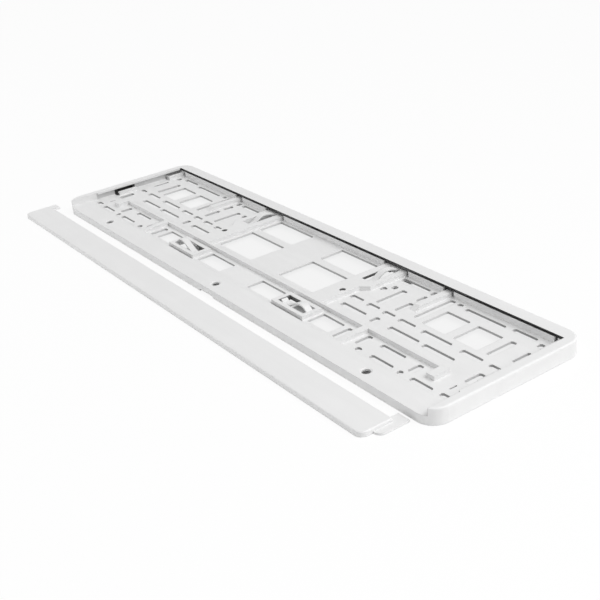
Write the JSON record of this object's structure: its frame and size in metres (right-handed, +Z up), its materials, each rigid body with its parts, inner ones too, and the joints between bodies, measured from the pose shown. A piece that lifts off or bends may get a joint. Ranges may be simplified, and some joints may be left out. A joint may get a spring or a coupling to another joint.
{
  "type": "number plate holder",
  "caption": "Long shallow moulded tray that holds a car number plate under lips on three sides, with a slotted floor, leaf springs and a loose front clip strip.",
  "frame": {"origin": "on the ground under the middle of both pieces as they lie side by side", "axes": "+X along the holder, +Y from the clip strip towards the back lip, +Z up out of the tray"},
  "size_m": [0.5588, 0.1756, 0.0124],
  "materials": {
    "base_plastic": "white injection-moulded plastic, fine satin",
    "strip_plastic": "white injection-moulded plastic, fine satin"
  },
  "bodies": {
    "root": {"base_frame": "base_plastic", "clip_strip": "strip_plastic"}
  },
  "joints": []
}
